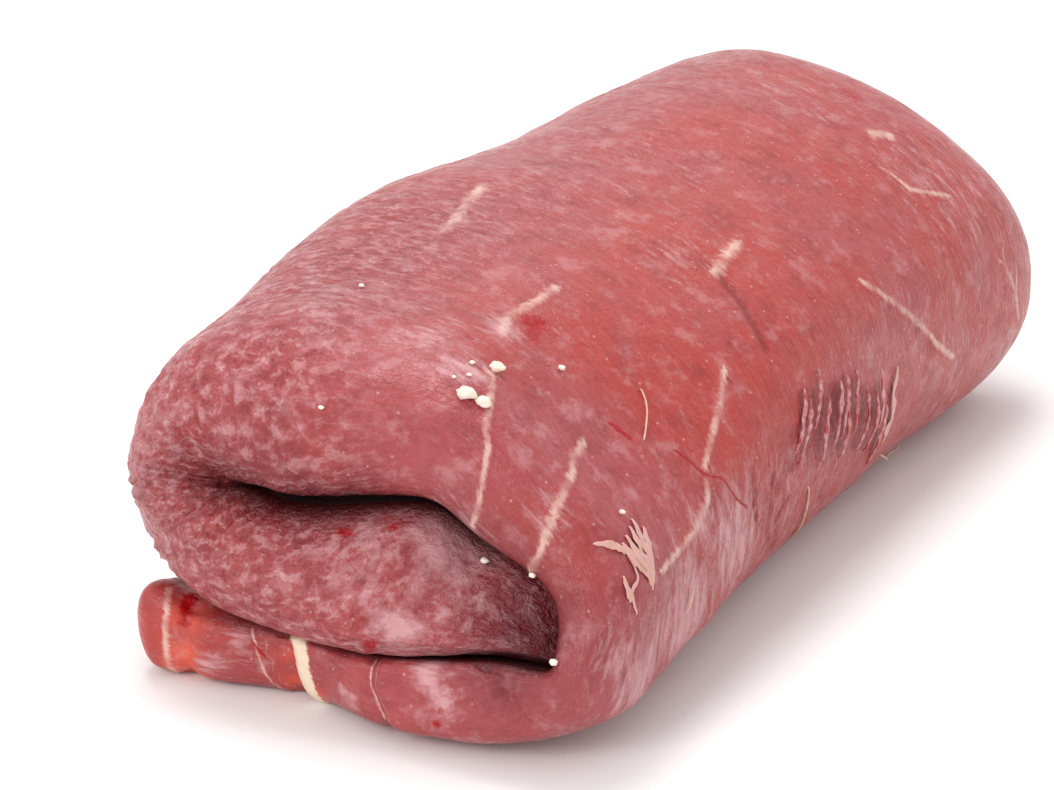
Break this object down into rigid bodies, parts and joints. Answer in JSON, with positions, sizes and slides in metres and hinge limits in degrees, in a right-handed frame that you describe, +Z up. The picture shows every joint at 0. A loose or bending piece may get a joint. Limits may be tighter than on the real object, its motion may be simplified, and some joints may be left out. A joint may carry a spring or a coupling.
{
  "type": "rolled flank steak",
  "caption": "Raw trimmed flank steak rolled once into a thick parcel, lying on its flat underside with its end folds showing.",
  "frame": {"origin": "middle of the underside of the steak's box, on the surface it lies on", "axes": "+Y from the near end, where the rolled layers show, to the far end; +Z up; the loose flap ends towards -X"},
  "size_m": [0.1138, 0.2304, 0.0756],
  "materials": {
    "raw_beef": "moist, semi-gloss"
  },
  "bodies": {
    "root": {"flank_steak": "raw_beef"}
  },
  "joints": []
}
